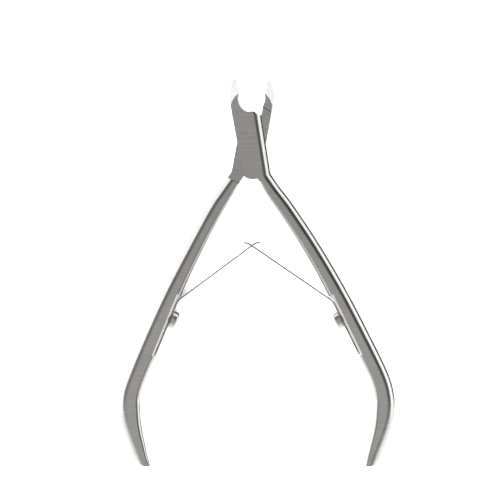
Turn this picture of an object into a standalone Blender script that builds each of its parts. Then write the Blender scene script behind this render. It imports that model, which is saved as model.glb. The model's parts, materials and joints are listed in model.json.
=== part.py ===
"""A cuticle nipper: two forged levers with a lap joint, a flush rivet, two leaf springs and their screws.

It lies on its back. The pivot's axis is +Z, the jaws point along +Y and z = 0 is the back of the joint.
Lengths are in millimetres here, and become metres where a mesh is made.
Both levers are drawn with the jaw on -X. The back lever is then turned over to put its jaw on +X.
"""

import math

import bmesh
import bpy
import numpy as np
from mathutils import Matrix, Vector

MM = 0.001

# Driving dimensions of the joint and of the whole forging
JOINT_THICKNESS = 6.4
HANDLE_END_THICKNESS = 4.8
LAP_GAP = 0.1
SHARP_ANGLE = 32.0
HANDLE_TOP_Y = -8.5
HANDLE_END_Y = -89.0

# Rounding of the forging's edges, seen from the front
SHARP_ROUND = 0.25
GRIP_ROUND = 2.5
SPRING_SIDE_ROUND = 0.6
END_ROUND = 0.8
END_CROWN = 0.22
ROUND_STEPS = 4
LEAST_HALF_FLAT = 0.2

# The forging's shoulder above the plate, before the notch is milled
SHOULDER = (1.4, 16.0)
SHOULDER_TOP = (-2.0, 20.6)

# The jaw, its cutting edge and the ground facet beside it
TIP = (-4.56, 19.85)
HEEL = (-3.60, 14.87)
JAW_SIDE = [TIP, (-5.35, 18.4), (-6.10, 15.9), (-6.27, 13.1), (-5.80, 10.6)]
FACET_CENTRE = (-0.36, 10.47)
FACET_RADIUS = 5.5
FACET_SLOPE = 45.0
FACET_START = 95.0
FACET_SWEEP = 81.0
FACET_STEPS = 18
JAW_BACK_START_Y = 12.5
JAW_BACK_SLOPE = 8.0
NOTCH_PAST_TIP = 0.3

# The lap plate
PLATE_LOW_CORNER = (-2.38, -8.04)
PLATE_RIGHT_TOP = (2.66, 9.4)
PLATE_TOP_CORNER = (2.74, 8.71)
FRONT_NOTCH = [HEEL, (-3.86, 13.6), (-3.64, 12.35), (-3.08, 11.2), (-2.3, 10.33), (-1.4, 9.85), (-0.75, 9.73)]
FRONT_PLATE_TOP = [(0.1, 9.93), (0.92, 9.80), (1.34, 9.35), (2.2, 8.82), PLATE_TOP_CORNER]
BACK_NOTCH = [HEEL, (-3.82, 13.6), (-3.50, 12.2), (-3.14, 11.3), (-3.02, 10.3), (-2.75, 9.1), (-2.1, 8.35)]
BACK_PLATE_TOP = [(-0.9, 8.1), (1.0, 8.2), PLATE_TOP_CORNER]
POCKET_WALL_ABOVE = [(-5.85, 9.66), (-3.14, 11.37)]
POCKET_WALL_BELOW = [(3.50, -10.42), (6.64, -8.54)]

# The rounded bottom of each plate, up to the handle's spring side
FRONT_PLATE_BOTTOM = [PLATE_LOW_CORNER, (-1.30, -8.78), (0.10, -9.15), (1.60, -8.95)]
BACK_PLATE_BOTTOM = [PLATE_LOW_CORNER, (-1.30, -8.78), (0.10, -9.10), (1.35, -8.72), (2.20, -8.15)]

# The handles: centre x, centre y and width, from the joint to the end
FRONT_HANDLE = [
    (3.7, -8.5, 3.7),
    (6.1, -12.4, 4.2),
    (10.0, -17.8, 4.5),
    (17.1, -28.7, 4.7),
    (24.1, -40.9, 5.0),
    (30.1, -52.8, 5.4),
    (35.6, -64.0, 5.3),
    (37.2, -69.9, 5.5),
    (37.2, -74.2, 5.5),
    (36.4, -78.9, 4.9),
    (34.1, -86.7, 3.7),
    (33.6, -88.9, 3.0),
]
BACK_HANDLE = [
    (4.1, -7.8, 3.5),
    (7.4, -13.0, 4.1),
    (10.5, -18.0, 4.5),
    (16.3, -28.9, 4.7),
    (22.3, -41.0, 5.2),
    (27.5, -53.0, 5.8),
    (32.2, -64.0, 5.6),
    (34.0, -69.8, 5.7),
    (34.0, -74.3, 5.7),
    (33.2, -79.0, 5.0),
    (30.7, -87.0, 3.9),
    (30.1, -88.9, 3.1),
]
HANDLE_STEPS = 4
OUTLINE_STEPS = 4

# The rivet
RIVET_RADIUS = 2.0
RIVET_HEAD_RADIUS = 3.2
RIVET_HEAD_DEPTH = 1.2
RIVET_FRONT_COVER = 0.9
RIVET_CLEARANCE = 0.05
ROUND_SIDES = 40

# How far the cutters reach past the steel that they remove
CUTTER_REACH = 12.0
CUTTER_MARGIN = 2.0

# The leaf springs and their screws
SEAT_Y = -48.2
SEAT_DEPTH = 0.6
SEAT_TOWARDS_JOINT = 7.0
SEAT_PAST_TAIL = 0.3
LEAF_THICKNESS = 0.5
LEAF_WIDTH = 4.4
LEAF_SEAT_GAP = 0.05
LEAF_TAIL = 11.2
LEAF_TO_BEND = 4.4
LEAF_BEND_RADIUS = 4.0
LEAF_BEND_STEPS = 6
LEAVES_CROSS = (0.05, -27.65)
LEAF_PAST_CROSSING = 0.7
LEAF_CURL = 35.0
LEAF_TIP = 0.5
TONGUE_CURL_RADIUS = 2.4
TONGUE_WIDTH = 1.6
TONGUE_LENGTH = 6.0
FORK_CURL_RADIUS = 2.3
SLOT_WIDTH = 2.4
SLOT_BEFORE_CROSSING = 6.5
SLOT_PAST_CROSSING = 0.8
SCREW_HEAD_RADIUS = 2.45
SCREW_RIM_HEIGHT = 1.2
SCREW_DOME_HEIGHT = 0.7
SCREW_SLOT_WIDTH = 0.7
SCREW_SLOT_DEPTH = 0.8
SCREW_SLOT_TURN = 78.0
SCREW_SHANK_RADIUS = 0.95
SCREW_SHANK_LENGTH = 3.2
SCREW_CLEARANCE = 0.1
SCREW_DOME_POWER = 0.6
SCREW_DOME_STEPS = 6
SCREW_SIDES = 32

FORGED_STEEL = {"name": "forged_steel", "colour": (0.60, 0.59, 0.57), "roughness": 0.30}
RIVET_STEEL = {"name": "rivet_steel", "colour": (0.62, 0.61, 0.59), "roughness": 0.25}
SPRING_STEEL = {"name": "spring_steel", "colour": (0.55, 0.54, 0.52), "roughness": 0.28}
SCREW_STEEL = {"name": "screw_steel", "colour": (0.66, 0.65, 0.63), "roughness": 0.22}


def clear_scene():
    for obj in list(bpy.data.objects):
        bpy.data.objects.remove(obj, do_unlink=True)


def spline(points, steps):
    """A smooth curve through the points (Catmull-Rom), with this many steps between two of them."""
    held = [np.array(p, float) for p in points]
    ends = [2 * held[0] - held[1]] + held + [2 * held[-1] - held[-2]]
    curve = []
    for before, start, stop, after in zip(ends, ends[1:], ends[2:], ends[3:]):
        for step in range(steps):
            t = step / steps
            curve.append(
                start
                + 0.5 * t * (stop - before)
                + t * t * (before - 2.5 * start + 2 * stop - 0.5 * after)
                + t * t * t * (1.5 * (start - stop) + 0.5 * (after - before))
            )
    curve.append(held[-1])
    return curve


def handle_edges(handle):
    """The spring side and the grip side of a handle, from the joint to the end."""
    rows = np.array(spline(handle, HANDLE_STEPS))
    centre, half = rows[:, :2], rows[:, 2:] / 2
    along = np.gradient(centre, axis=0)
    along /= np.linalg.norm(along, axis=1, keepdims=True)
    outward = np.column_stack([-along[:, 1], along[:, 0]])
    return centre - outward * half, centre + outward * half


def arc(centre, radius, start, stop, count):
    """Points along a circle, between two angles in degrees."""
    angles = np.radians(np.linspace(start, stop, count))
    return [(centre[0] + radius * math.cos(a), centre[1] + radius * math.sin(a)) for a in angles]


def blank_outline(shape):
    """The forging's outline, anticlockwise from the jaw's tip, with the rounding of each of its edges."""
    spring_side, grip_side = handle_edges(shape["handle"])
    end_centre = (spring_side[-1] + grip_side[-1]) / 2
    end_along = np.array([spring_side[-1][1] - grip_side[-1][1], grip_side[-1][0] - spring_side[-1][0]])
    end_point = end_centre - END_CROWN * end_along * np.sign(end_along[1])
    stretches = [
        (spline(JAW_SIDE, OUTLINE_STEPS), SHARP_ROUND),
        (spline(shape["plate_bottom"], OUTLINE_STEPS), SHARP_ROUND),
        (list(spring_side[1:]), SPRING_SIDE_ROUND),
        ([end_point], END_ROUND),
        (list(grip_side[::-1][:-1]), GRIP_ROUND),
        ([grip_side[0], PLATE_RIGHT_TOP, SHOULDER], GRIP_ROUND),
        ([SHOULDER_TOP], SHARP_ROUND),
    ]
    points = []
    rounding = []
    for stretch, edge_round in stretches:
        points.extend(tuple(p) for p in stretch)
        rounding.extend([edge_round] * len(stretch))
    return np.array(points), np.array(rounding)


def inset_direction(points, rounding):
    """How far each corner moves inwards, so that each edge moves in by its own rounding."""
    before = np.roll(points, 1, axis=0)
    after = np.roll(points, -1, axis=0)
    edges_in = points - before
    edges_out = after - points
    inward_in = np.column_stack([-edges_in[:, 1], edges_in[:, 0]])
    inward_in /= np.linalg.norm(inward_in, axis=1, keepdims=True)
    inward_out = np.column_stack([-edges_out[:, 1], edges_out[:, 0]])
    inward_out /= np.linalg.norm(inward_out, axis=1, keepdims=True)
    round_in = np.roll(rounding, 1)
    average = (round_in + rounding) / 2
    mitre = 1 + (inward_in * inward_out).sum(axis=1)
    return (inward_in + inward_out) / mitre[:, None] * average[:, None]


def half_thickness(y):
    """Half the forging's thickness: even over the joint, then tapering to the handles' ends."""
    along = np.clip((HANDLE_TOP_Y - y) / (HANDLE_TOP_Y - HANDLE_END_Y), 0, 1)
    return (JOINT_THICKNESS + (HANDLE_END_THICKNESS - JOINT_THICKNESS) * along) / 2


def blank_mesh(shape):
    """The forging before any machining: rings round the outline, from the back face to the front face."""
    points, rounding = blank_outline(shape)
    inset = inset_direction(points, rounding)
    depth = np.minimum((rounding + np.roll(rounding, 1)) / 2, half_thickness(points[:, 1]) - LEAST_HALF_FLAT)
    rings = []
    for side in (-1, 1):
        turns = np.linspace(0, math.pi / 2, ROUND_STEPS + 1)
        if side < 0:
            turns = turns[::-1]
        for turn in turns:
            plan = points + inset * (1 - math.cos(turn))
            height = half_thickness(points[:, 1]) - depth * (1 - math.sin(turn))
            rings.append(np.column_stack([plan, JOINT_THICKNESS / 2 + side * height]))
    mesh = bmesh.new()
    loops = [[mesh.verts.new(Vector(p) * MM) for p in ring] for ring in rings]
    for lower, upper in zip(loops, loops[1:]):
        for i in range(len(lower)):
            j = (i + 1) % len(lower)
            mesh.faces.new([lower[i], lower[j], upper[j], upper[i]])
    mesh.faces.new(loops[0][::-1])
    mesh.faces.new(loops[-1])
    return mesh


def prism_mesh(outline, low, high):
    """An outline, anticlockwise, extruded from z = low to z = high."""
    mesh = bmesh.new()
    face = mesh.faces.new([mesh.verts.new(Vector((x, y, low)) * MM) for x, y in outline])
    grown = bmesh.ops.extrude_face_region(mesh, geom=[face])
    moved = [item for item in grown["geom"] if isinstance(item, bmesh.types.BMVert)]
    bmesh.ops.translate(mesh, vec=Vector((0, 0, high - low)) * MM, verts=moved)
    bmesh.ops.recalc_face_normals(mesh, faces=mesh.faces)
    return mesh


def turned_mesh(profile, sides, start=0.0, sweep=360.0):
    """A closed profile of (radius, z) turned about the Z axis, in whole or in part."""
    mesh = bmesh.new()
    turn = Matrix.Rotation(math.radians(start), 3, "Z")
    ring = [mesh.verts.new(turn @ Vector((radius, 0, z)) * MM) for radius, z in profile]
    edges = [mesh.edges.new((a, b)) for a, b in zip(ring, ring[1:])]
    whole = sweep >= 360.0
    if not whole:
        edges = [mesh.faces.new(ring)]
    bmesh.ops.spin(
        mesh,
        geom=edges,
        cent=(0, 0, 0),
        axis=(0, 0, 1),
        angle=math.radians(sweep),
        steps=sides,
        use_merge=whole,
    )
    bmesh.ops.remove_doubles(mesh, verts=mesh.verts, dist=1e-7)
    bmesh.ops.recalc_face_normals(mesh, faces=mesh.faces)
    return mesh


def add_object(name, mesh, smooth=True):
    data = bpy.data.meshes.new(name)
    mesh.to_mesh(data)
    mesh.free()
    if smooth:
        data.shade_smooth()
        data.set_sharp_from_angle(angle=math.radians(SHARP_ANGLE))
    obj = bpy.data.objects.new(name, data)
    bpy.context.scene.collection.objects.link(obj)
    return obj


def add_cutter(name, mesh):
    cutter = add_object(name, mesh, smooth=False)
    cutter.hide_render = True
    cutter.display_type = "WIRE"
    return cutter


def cut(obj, cutter):
    modifier = obj.modifiers.new(cutter.name, "BOOLEAN")
    modifier.operation = "DIFFERENCE"
    modifier.solver = "EXACT"
    modifier.object = cutter


def paint(obj, finish):
    material = bpy.data.materials.get(finish["name"])
    if material is None:
        material = bpy.data.materials.new(finish["name"])
        material.use_nodes = True
        shader = material.node_tree.nodes["Principled BSDF"]
        shader.inputs["Base Color"].default_value = (*finish["colour"], 1.0)
        shader.inputs["Metallic"].default_value = 1.0
        shader.inputs["Roughness"].default_value = finish["roughness"]
    obj.data.materials.append(material)


def wall_through(low, high, reach):
    """A line through two points, longer by reach at each end."""
    low, high = np.array(low), np.array(high)
    along = (high - low) / np.linalg.norm(high - low)
    return tuple(low - along * reach), tuple(high + along * reach)


def notch_outline(shape):
    """Everything beyond the cutting edge, the relief notch and the plate's top edge."""
    beyond_tip = np.array(TIP) + NOTCH_PAST_TIP * (np.array(TIP) - np.array(HEEL))
    edge = [tuple(p) for p in spline(shape["notch"], OUTLINE_STEPS)] + shape["plate_top"]
    right, top = PLATE_TOP_CORNER[0] + CUTTER_REACH / 2, TIP[1] + CUTTER_REACH / 2
    return [tuple(beyond_tip)] + edge + [(right, PLATE_TOP_CORNER[1]), (right, top), (beyond_tip[0], top)]


def pocket_outline():
    """Where the other lever's plate lies, between the two walls of the pocket."""
    above = wall_through(*POCKET_WALL_ABOVE, CUTTER_REACH / 2)
    below = wall_through(*POCKET_WALL_BELOW, CUTTER_REACH / 2)
    left = (-CUTTER_REACH, below[0][1])
    right = (CUTTER_REACH, above[1][1])
    return [above[0], left, below[0], below[1], right, above[1]]


def facet_mesh():
    """The cone whose outside is ground away from the jaw's front."""
    slope = math.tan(math.radians(FACET_SLOPE))
    profile = [
        (FACET_RADIUS - CUTTER_MARGIN / slope, JOINT_THICKNESS + CUTTER_MARGIN),
        (FACET_RADIUS + CUTTER_REACH, JOINT_THICKNESS + CUTTER_MARGIN),
        (FACET_RADIUS + CUTTER_REACH, JOINT_THICKNESS - CUTTER_REACH * slope),
    ]
    mesh = turned_mesh(profile, FACET_STEPS, start=FACET_START, sweep=FACET_SWEEP)
    bmesh.ops.translate(mesh, vec=Vector((*FACET_CENTRE, 0)) * MM, verts=mesh.verts)
    return mesh


def jaw_back_mesh():
    """The slope that thins the jaw's back towards its tip: a wedge along X."""
    reach = CUTTER_REACH
    depth = reach * math.tan(math.radians(JAW_BACK_SLOPE))
    mesh = prism_mesh([(-reach, -reach), (reach, -reach), (reach, depth), (0.0, 0.0)], -reach, reach)
    # The wedge is drawn with y as its first axis and z as its second.
    axes = Matrix(((0, 0, 1, 0), (1, 0, 0, JAW_BACK_START_Y * MM), (0, 1, 0, 0), (0, 0, 0, 1)))
    bmesh.ops.transform(mesh, matrix=axes, verts=mesh.verts)
    return mesh


def put_on_side(mesh, side):
    """Mirrors a cutter for the jaw on +X, and leaves it as it is for the jaw on -X."""
    if side < 0:
        bmesh.ops.transform(mesh, matrix=Matrix.Scale(-1, 4, (1, 0, 0)), verts=mesh.verts)
        bmesh.ops.reverse_faces(mesh, faces=mesh.faces)
    return mesh


def seat_matrix(shape):
    """A frame on the leaf's milled seat: X to the handle's end, Y off the face, Z along the pivot's axis."""
    side = shape["side"]
    spring_side, _ = handle_edges(shape["handle"])
    heights = spring_side[::-1, 1]
    place = np.array([np.interp(SEAT_Y, heights, spring_side[::-1, 0]), SEAT_Y])
    nearest = int(np.argmin(np.abs(spring_side[:, 1] - SEAT_Y)))
    down = spring_side[nearest + 3] - spring_side[nearest - 3]
    down /= np.linalg.norm(down)
    off = np.array([down[1], -down[0]])
    place = place - off * SEAT_DEPTH
    x_axis = Vector((side * down[0], down[1], 0))
    y_axis = Vector((side * off[0], off[1], 0))
    z_axis = x_axis.cross(y_axis)
    matrix = Matrix((x_axis, y_axis, z_axis)).transposed().to_4x4()
    matrix.translation = Vector((side * place[0], place[1], JOINT_THICKNESS / 2)) * MM
    return matrix


def across_matrix(matrix):
    """The same frame turned so that its Z axis leaves the face, for pieces turned about the screw's axis."""
    return matrix @ Matrix.Rotation(math.radians(-90), 4, "X")


def screw_hole(name, depth, matrix):
    radius = SCREW_SHANK_RADIUS + SCREW_CLEARANCE
    profile = [(0, -depth), (radius, -depth), (radius, CUTTER_MARGIN), (0, CUTTER_MARGIN)]
    cutter = add_cutter(name, turned_mesh(profile, SCREW_SIDES))
    cutter.matrix_world = across_matrix(matrix)
    return cutter


def seat_cutter_mesh():
    """The steel milled away for the leaf's tail, in the seat's own frame."""
    end = LEAF_TAIL + SEAT_PAST_TAIL
    over = SEAT_DEPTH + CUTTER_MARGIN
    corners = [(-SEAT_TOWARDS_JOINT, 0.0), (end, 0.0), (end, over), (-SEAT_TOWARDS_JOINT, over)]
    return prism_mesh(corners, -JOINT_THICKNESS, JOINT_THICKNESS)


def add_cuts(lever, meshes):
    for label, mesh in meshes.items():
        cut(lever, add_cutter(f"{lever.name}_{label}", mesh))


def bore_mesh():
    """The rivet's hole: straight from the front plate's blind end, then countersunk at the back."""
    hole = RIVET_RADIUS + RIVET_CLEARANCE
    head = RIVET_HEAD_RADIUS + RIVET_CLEARANCE
    top = JOINT_THICKNESS - RIVET_FRONT_COVER + RIVET_CLEARANCE
    cone_top = RIVET_HEAD_DEPTH + RIVET_CLEARANCE
    mouth = [(head, RIVET_CLEARANCE), (head, -CUTTER_MARGIN), (0, -CUTTER_MARGIN)]
    return turned_mesh([(0, top), (hole, top), (hole, cone_top)] + mouth, ROUND_SIDES)


def make_lever(name, shape):
    """A lever: the forging, its notch, its half of the lap joint, its ground jaw, its seat and its holes."""
    side = shape["side"]
    on_seat = seat_matrix(shape)
    turn_over = Matrix.Identity(4)
    if side < 0:
        turn_over = Matrix.Translation((0, 0, JOINT_THICKNESS * MM)) @ Matrix.Rotation(math.pi, 4, "Y")
    blank = blank_mesh(shape)
    notch = prism_mesh(notch_outline(shape)[::-1], -CUTTER_MARGIN, JOINT_THICKNESS + CUTTER_MARGIN)
    pocket = prism_mesh(pocket_outline(), -CUTTER_MARGIN, (JOINT_THICKNESS + LAP_GAP) / 2)
    for mesh in (blank, notch, pocket):
        bmesh.ops.transform(mesh, matrix=turn_over, verts=mesh.verts)
    seat = seat_cutter_mesh()
    bmesh.ops.transform(seat, matrix=on_seat, verts=seat.verts)
    lever = add_object(name, blank)
    add_cuts(
        lever,
        {
            "notch": notch,
            "pocket": pocket,
            "facet": put_on_side(facet_mesh(), side),
            "jaw_back": put_on_side(jaw_back_mesh(), side),
            "bore": bore_mesh(),
            "seat": seat,
        },
    )
    cut(lever, screw_hole(name + "_tapping", SCREW_SHANK_LENGTH, on_seat))
    paint(lever, FORGED_STEEL)
    return lever


def make_rivet():
    top = JOINT_THICKNESS - RIVET_FRONT_COVER
    head = [(0, 0), (RIVET_HEAD_RADIUS, 0)]
    shank = [(RIVET_RADIUS, RIVET_HEAD_DEPTH), (RIVET_RADIUS, top), (0, top)]
    rivet = add_object("pivot_rivet", turned_mesh(head + shank, ROUND_SIDES))
    paint(rivet, RIVET_STEEL)
    return rivet


def leaf_path(seat, curl_radius):
    """The leaf's middle line on its seat: the tail, the bend, the arm through the crossing and the curled tip."""
    height = LEAF_SEAT_GAP + LEAF_THICKNESS / 2
    crossing = np.array((seat.inverted() @ (Vector((*LEAVES_CROSS, JOINT_THICKNESS / 2)) * MM)) / MM)[:2]
    bend_centre = np.array([-LEAF_TO_BEND, height + LEAF_BEND_RADIUS])
    reach = crossing - bend_centre
    # The arm is the tangent from the bend's arc to the crossing.
    to_tangent = math.degrees(math.acos(LEAF_BEND_RADIUS / np.linalg.norm(reach)))
    bend_end = math.degrees(math.atan2(reach[1], reach[0])) + to_tangent - 360.0
    path = [(LEAF_TAIL, height), (0.0, height)]
    path += arc(bend_centre, LEAF_BEND_RADIUS, -90.0, bend_end, LEAF_BEND_STEPS + 1)
    ahead = (crossing - path[-1]) / np.linalg.norm(crossing - path[-1])
    right = np.array([ahead[1], -ahead[0]])
    arm_end = crossing + ahead * LEAF_PAST_CROSSING
    curl_centre = arm_end + right * curl_radius
    start = math.degrees(math.atan2(-right[1], -right[0]))
    path += arc(curl_centre, curl_radius, start, start - LEAF_CURL, LEAF_BEND_STEPS + 1)
    tip = np.array(path[-1]) - np.array(path[-2])
    path.append(tuple(np.array(path[-1]) + tip / np.linalg.norm(tip) * LEAF_TIP))
    return np.array(path), crossing, ahead


def leaf_mesh(path):
    """The middle line given its thickness, and extruded to the leaf's width."""
    along = np.gradient(path, axis=0)
    along /= np.linalg.norm(along, axis=1, keepdims=True)
    across = np.column_stack([-along[:, 1], along[:, 0]]) * LEAF_THICKNESS / 2
    outline = np.concatenate([path + across, (path - across)[::-1]])
    return prism_mesh([tuple(p) for p in outline], -LEAF_WIDTH / 2, LEAF_WIDTH / 2)


def box_along(name, start, ahead, length, low, high, matrix):
    """A cutter round a stretch of the leaf's arm, between two heights."""
    across = np.array([-ahead[1], ahead[0]]) * LEAF_WIDTH
    stop = start + ahead * length
    corners = [start - across, stop - across, stop + across, start + across]
    cutter = add_cutter(name, prism_mesh([tuple(p) for p in corners], low, high))
    cutter.matrix_world = matrix
    return cutter


def make_leaf(name, seat, curl_radius):
    """A plain leaf with its screw hole, and where and in which direction its arm passes the crossing."""
    path, crossing, ahead = leaf_path(seat, curl_radius)
    leaf = add_object(name, leaf_mesh(path))
    leaf.matrix_world = seat
    cut(leaf, screw_hole(name + "_hole", CUTTER_MARGIN, seat))
    paint(leaf, SPRING_STEEL)
    return leaf, crossing, ahead


def make_tongue_spring(seat):
    """The leaf whose end is narrowed to a tongue, which passes through the other leaf's slot."""
    leaf, crossing, ahead = make_leaf("tongue_spring", seat, TONGUE_CURL_RADIUS)
    start = crossing - ahead * TONGUE_LENGTH
    half = TONGUE_WIDTH / 2
    for label, low, high in (("below", -LEAF_WIDTH, -half), ("above", half, LEAF_WIDTH)):
        cut(leaf, box_along("tongue_" + label, start, ahead, 2 * TONGUE_LENGTH, low, high, seat))
    return leaf


def make_forked_spring(seat):
    """The leaf with the closed slot that the tongue slides in."""
    leaf, crossing, ahead = make_leaf("forked_spring", seat, FORK_CURL_RADIUS)
    start = crossing - ahead * SLOT_BEFORE_CROSSING
    half = SLOT_WIDTH / 2
    cut(leaf, box_along("fork_slot", start, ahead, SLOT_BEFORE_CROSSING + SLOT_PAST_CROSSING, -half, half, seat))
    return leaf


def make_spring_screw(name, seat, slot_turn):
    """A slotted pan-head screw: its head clamps the leaf, its shank goes into the handle."""
    under = 2 * LEAF_SEAT_GAP + LEAF_THICKNESS
    rim = under + SCREW_RIM_HEIGHT
    tip = SCREW_SHANK_LENGTH - 2 * SCREW_CLEARANCE
    top = rim + SCREW_DOME_HEIGHT
    turns = np.linspace(0, math.pi / 2, SCREW_DOME_STEPS + 1)[:-1]
    # A quarter of a squashed superellipse: round at the rim, nearly flat on top.
    widths = SCREW_HEAD_RADIUS * np.cos(turns) ** SCREW_DOME_POWER
    dome = list(zip(widths, rim + SCREW_DOME_HEIGHT * np.sin(turns)))
    shank = [(0, -tip), (SCREW_SHANK_RADIUS, -tip), (SCREW_SHANK_RADIUS, under)]
    profile = shank + [(SCREW_HEAD_RADIUS, under)] + dome + [(0, top)]
    screw = add_object(name, turned_mesh(profile, SCREW_SIDES))
    screw.matrix_world = across_matrix(seat)
    half = SCREW_SLOT_WIDTH / 2
    reach = 2 * SCREW_HEAD_RADIUS
    corners = [(-half, -reach), (half, -reach), (half, reach), (-half, reach)]
    cutter = add_cutter(name + "_slot", prism_mesh(corners, top - SCREW_SLOT_DEPTH, top + CUTTER_MARGIN))
    cutter.matrix_world = across_matrix(seat) @ Matrix.Rotation(math.radians(slot_turn), 4, "Z")
    cut(screw, cutter)
    paint(screw, SCREW_STEEL)
    return screw


FRONT = {
    "side": 1,
    "handle": FRONT_HANDLE,
    "notch": FRONT_NOTCH,
    "plate_top": FRONT_PLATE_TOP,
    "plate_bottom": FRONT_PLATE_BOTTOM,
}
BACK = {
    "side": -1,
    "handle": BACK_HANDLE,
    "notch": BACK_NOTCH,
    "plate_top": BACK_PLATE_TOP,
    "plate_bottom": BACK_PLATE_BOTTOM,
}


def main():
    clear_scene()
    make_lever("front_lever", FRONT)
    make_lever("back_lever", BACK)
    make_rivet()
    make_forked_spring(seat_matrix(FRONT))
    make_tongue_spring(seat_matrix(BACK))
    make_spring_screw("forked_spring_screw", seat_matrix(FRONT), SCREW_SLOT_TURN)
    make_spring_screw("tongue_spring_screw", seat_matrix(BACK), -SCREW_SLOT_TURN)


main()
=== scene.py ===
import json

import bmesh
import bpy
import numpy as np
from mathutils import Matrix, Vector


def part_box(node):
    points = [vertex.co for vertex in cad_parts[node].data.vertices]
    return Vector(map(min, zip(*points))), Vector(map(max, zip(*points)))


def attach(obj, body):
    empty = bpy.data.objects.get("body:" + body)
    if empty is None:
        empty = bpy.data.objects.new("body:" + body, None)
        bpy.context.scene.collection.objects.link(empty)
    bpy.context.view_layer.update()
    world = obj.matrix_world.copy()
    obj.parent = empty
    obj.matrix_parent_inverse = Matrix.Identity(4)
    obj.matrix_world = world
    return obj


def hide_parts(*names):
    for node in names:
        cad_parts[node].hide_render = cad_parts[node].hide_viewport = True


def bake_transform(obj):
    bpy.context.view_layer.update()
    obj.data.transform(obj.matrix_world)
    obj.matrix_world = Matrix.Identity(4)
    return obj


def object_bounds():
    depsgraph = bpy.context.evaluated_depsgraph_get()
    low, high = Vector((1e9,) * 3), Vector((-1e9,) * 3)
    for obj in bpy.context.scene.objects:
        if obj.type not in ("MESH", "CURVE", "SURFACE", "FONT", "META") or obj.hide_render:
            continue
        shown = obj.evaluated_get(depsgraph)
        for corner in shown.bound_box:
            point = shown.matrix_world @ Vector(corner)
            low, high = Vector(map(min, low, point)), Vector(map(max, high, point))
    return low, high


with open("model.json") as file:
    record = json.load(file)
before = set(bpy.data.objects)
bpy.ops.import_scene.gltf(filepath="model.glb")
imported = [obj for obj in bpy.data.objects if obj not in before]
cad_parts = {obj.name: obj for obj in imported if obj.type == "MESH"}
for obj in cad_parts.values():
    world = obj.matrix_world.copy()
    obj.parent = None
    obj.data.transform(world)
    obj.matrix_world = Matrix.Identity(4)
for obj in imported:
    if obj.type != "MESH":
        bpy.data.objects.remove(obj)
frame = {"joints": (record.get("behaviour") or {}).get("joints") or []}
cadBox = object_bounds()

# Lengths are in millimetres here, and become metres where a mesh is made.
# The nipper lies on its back: z = 0 is the back of the joint, +Y points to the jaws,
# and the pivot's axis is the Z axis.
mm = 0.001
leverLow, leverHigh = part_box("front_lever")
jointThickness = (leverHigh.z - leverLow.z) / mm
pivotXY = np.array(frame["joints"][0]["pos_m"][:2]) / mm


def smoothCurve(points, steps):
    # Catmull-Rom: on each span, start + t/2 (stop - before) + t^2 (...) + t^3 (...),
    # for all spans and all t at once.
    held = np.array(points, float)
    ends = np.vstack([2 * held[0] - held[1], held, 2 * held[-1] - held[-2]])
    spans = (ends[:-3], ends[1:-2], ends[2:-1], ends[3:])
    before, start, stop, after = (part[:, None] for part in spans)
    t = np.linspace(0, 1, steps, endpoint=False)[None, :, None]
    curve = start + 0.5 * t * (stop - before)
    curve = curve + t**2 * (before - 2.5 * start + 2 * stop - 0.5 * after)
    curve = curve + t**3 * (1.5 * (start - stop) + 0.5 * (after - before))
    return np.vstack([curve.reshape(-1, held.shape[1]), held[-1:]])


def unit(vectors):
    # each vector divided by its own length
    return vectors / np.linalg.norm(vectors, axis=-1, keepdims=True)


def leftOf(vectors):
    # a quarter turn anticlockwise in the plane
    return np.stack([-vectors[..., 1], vectors[..., 0]], axis=-1)


def arcPoints(centre, radius, start, stop, count):
    # centre + radius (cos a, sin a), a from start to stop in degrees
    a = np.radians(np.linspace(start, stop, count))
    return np.array(centre) + radius * np.column_stack([np.cos(a), np.sin(a)])


def gridFaces(rows, columns, wrap=True):
    # quads between neighbouring rows of a grid; wrap joins the last column to the first
    i = np.arange(rows - 1)[:, None] * columns
    j = np.arange(columns if wrap else columns - 1)[None]
    k = (j + 1) % columns
    return np.stack([i + j, i + k, i + columns + k, i + columns + j], axis=-1).reshape(-1, 4)


def makePiece(name, points, faces):
    # an object from points in millimetres and faces that list their corners
    data = bpy.data.meshes.new(name)
    data.from_pydata(np.asarray(points) * mm, [], faces)
    data.update()
    piece = bpy.data.objects.new(name, data)
    bpy.context.scene.collection.objects.link(piece)
    return piece


def tubeFaces(rows, columns):
    # a closed skin: the grid's quads, and one flat face at each end
    sides = gridFaces(rows, columns).tolist()
    first = list(range(columns))[::-1]
    last = list(range((rows - 1) * columns, rows * columns))
    return sides + [first, last]


def makePrism(name, outline, low, high, matrix=None):
    # an anticlockwise outline carried straight up from z = low to z = high
    outline = np.asarray(outline, float)
    rings = [np.column_stack([outline, np.full(len(outline), z)]) for z in (low, high)]
    points = placed(np.vstack(rings), matrix)
    return makePiece(name, points, tubeFaces(2, len(outline)))


def makeTurned(name, profile, sides, matrix=None, centre=(0.0, 0.0)):
    # (radius, z) turned about Z: x = centre x + radius cos a, y = centre y + radius sin a.
    # The profile runs up the outside, and its two ends lie on the axis.
    profile = np.asarray(profile, float)
    a = np.linspace(0, 2 * np.pi, sides, endpoint=False)[None]
    radius, z = profile[1:-1, :1], profile[1:-1, 1:]
    x, y = radius * np.cos(a) + centre[0], radius * np.sin(a) + centre[1]
    ring = np.stack([x, y, z + 0 * a], axis=-1)
    return makePiece(name, placed(ring.reshape(-1, 3), matrix), tubeFaces(len(profile) - 2, sides))


def placed(points, matrix):
    # turned by the matrix, then moved by its last column
    if matrix is None:
        return points
    matrix = np.array(matrix)
    return points @ matrix[:3, :3].T + matrix[:3, 3]


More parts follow.
